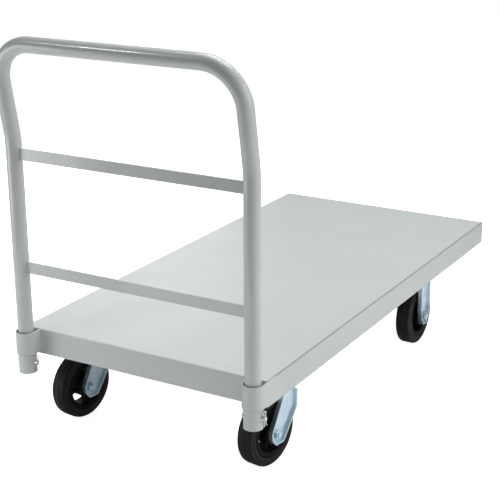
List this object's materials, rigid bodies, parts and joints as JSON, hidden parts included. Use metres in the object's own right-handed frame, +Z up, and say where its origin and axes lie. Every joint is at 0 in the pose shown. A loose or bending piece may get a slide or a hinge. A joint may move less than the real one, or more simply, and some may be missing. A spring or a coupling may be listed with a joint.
{
  "type": "flatbed platform truck",
  "caption": "Flatbed platform truck: flat folded-steel deck on swivel and rigid casters, with a pinned, lift-out bent-tube push handle, swept back at the top and crossed by flat bars.",
  "frame": {"origin": "centre of the whole truck's footprint box, on the floor that the wheels stand on", "axes": "+X the way the truck is pushed, from the handle to the free end of the deck; +Y to the pusher's left; +Z up"},
  "size_m": [1.2952, 0.6223, 0.8971],
  "materials": {
    "grey_powder_coat": "semi-gloss light grey powder coat with a faint orange peel",
    "bright_zinc": "bright blue-white zinc plate",
    "bearing_steel": "ground steel with a film of grease",
    "black_rubber": "moulded-on black rubber, dull",
    "black_cast_core": "black-painted casting"
  },
  "bodies": {
    "truck_frame": {"deck_pan": "grey_powder_coat", "rear_caster_channel": "grey_powder_coat", "front_caster_channel": "grey_powder_coat", "deck_ribs": "grey_powder_coat", "handle_tube": "grey_powder_coat", "handle_lower_crossbar": "grey_powder_coat", "handle_upper_crossbar": "grey_powder_coat", "right_socket_strap": "grey_powder_coat", "left_socket_strap": "grey_powder_coat", "right_socket_sleeve": "grey_powder_coat", "left_socket_sleeve": "grey_powder_coat", "clevis_pins": "bright_zinc", "caster_bolts": "bright_zinc", "caster_washers": "bright_zinc", "caster_nuts": "bright_zinc", "front_axle_bolts": "bright_zinc", "front_axle_nuts": "bright_zinc", "front_spanner_bushings": "bearing_steel", "front_thrust_washers": "bearing_steel", "rear_right_top_plate": "bright_zinc", "rear_right_kingpin": "bright_zinc", "rear_right_kingpin_nut": "bright_zinc", "rear_right_lower_race": "bearing_steel", "rear_right_swivel_balls": "bearing_steel", "front_right_top_plate": "bright_zinc", "front_right_fork": "bright_zinc", "rear_left_top_plate": "bright_zinc", "rear_left_kingpin": "bright_zinc", "rear_left_kingpin_nut": "bright_zinc", "rear_left_lower_race": "bearing_steel", "rear_left_swivel_balls": "bearing_steel", "front_left_top_plate": "bright_zinc", "front_left_fork": "bright_zinc"},
    "rear_right_swivel_fork": {"rear_right_fork": "bright_zinc", "rear_right_axle_bolt": "bright_zinc", "rear_right_axle_nut": "bright_zinc", "rear_right_spanner_bushing": "bearing_steel", "rear_right_thrust_washers": "bearing_steel"},
    "rear_right_wheel": {"rear_right_tyre": "black_rubber", "rear_right_wheel_core": "black_cast_core", "rear_right_roller_bearing": "bearing_steel"},
    "front_right_wheel": {"front_right_tyre": "black_rubber", "front_right_wheel_core": "black_cast_core", "front_right_roller_bearing": "bearing_steel"},
    "right_clip": {"right_hairpin_clip": "bright_zinc"},
    "rear_left_swivel_fork": {"rear_left_fork": "bright_zinc", "rear_left_axle_bolt": "bright_zinc", "rear_left_axle_nut": "bright_zinc", "rear_left_spanner_bushing": "bearing_steel", "rear_left_thrust_washers": "bearing_steel"},
    "rear_left_wheel": {"rear_left_tyre": "black_rubber", "rear_left_wheel_core": "black_cast_core", "rear_left_roller_bearing": "bearing_steel"},
    "front_left_wheel": {"front_left_tyre": "black_rubber", "front_left_wheel_core": "black_cast_core", "front_left_roller_bearing": "bearing_steel"},
    "left_clip": {"left_hairpin_clip": "bright_zinc"}
  },
  "joints": [
    {"name": "rear_right_swivel", "type": "hinge", "parent": "truck_frame", "child": "rear_right_swivel_fork", "pos_m": [-0.41463, -0.2425, 0.1742], "axis": [0, 0, 1], "continuous": true},
    {"name": "rear_right_roll", "type": "hinge", "parent": "rear_right_swivel_fork", "child": "rear_right_wheel", "pos_m": [-0.45765, -0.23607, 0.0762], "axis": [0.1478, 0.989, 0], "continuous": true},
    {"name": "front_right_roll", "type": "hinge", "parent": "truck_frame", "child": "front_right_wheel", "pos_m": [0.32017, -0.2425, 0.0762], "axis": [0, 1, 0], "continuous": true},
    {"name": "right_clip_pull", "type": "slide", "parent": "truck_frame", "child": "right_clip", "axis": [0, 0, 1], "range_m": [0, 0.026]},
    {"name": "rear_left_swivel", "type": "hinge", "parent": "truck_frame", "child": "rear_left_swivel_fork", "pos_m": [-0.41463, 0.2425, 0.1742], "axis": [0, 0, 1], "continuous": true},
    {"name": "rear_left_roll", "type": "hinge", "parent": "rear_left_swivel_fork", "child": "rear_left_wheel", "pos_m": [-0.45775, 0.24818, 0.0762], "axis": [0.1305, 0.9914, 0], "continuous": true},
    {"name": "front_left_roll", "type": "hinge", "parent": "truck_frame", "child": "front_left_wheel", "pos_m": [0.32017, 0.2425, 0.0762], "axis": [0, 1, 0], "continuous": true},
    {"name": "left_clip_pull", "type": "slide", "parent": "truck_frame", "child": "left_clip", "axis": [0, 0, 1], "range_m": [0, 0.026]}
  ]
}
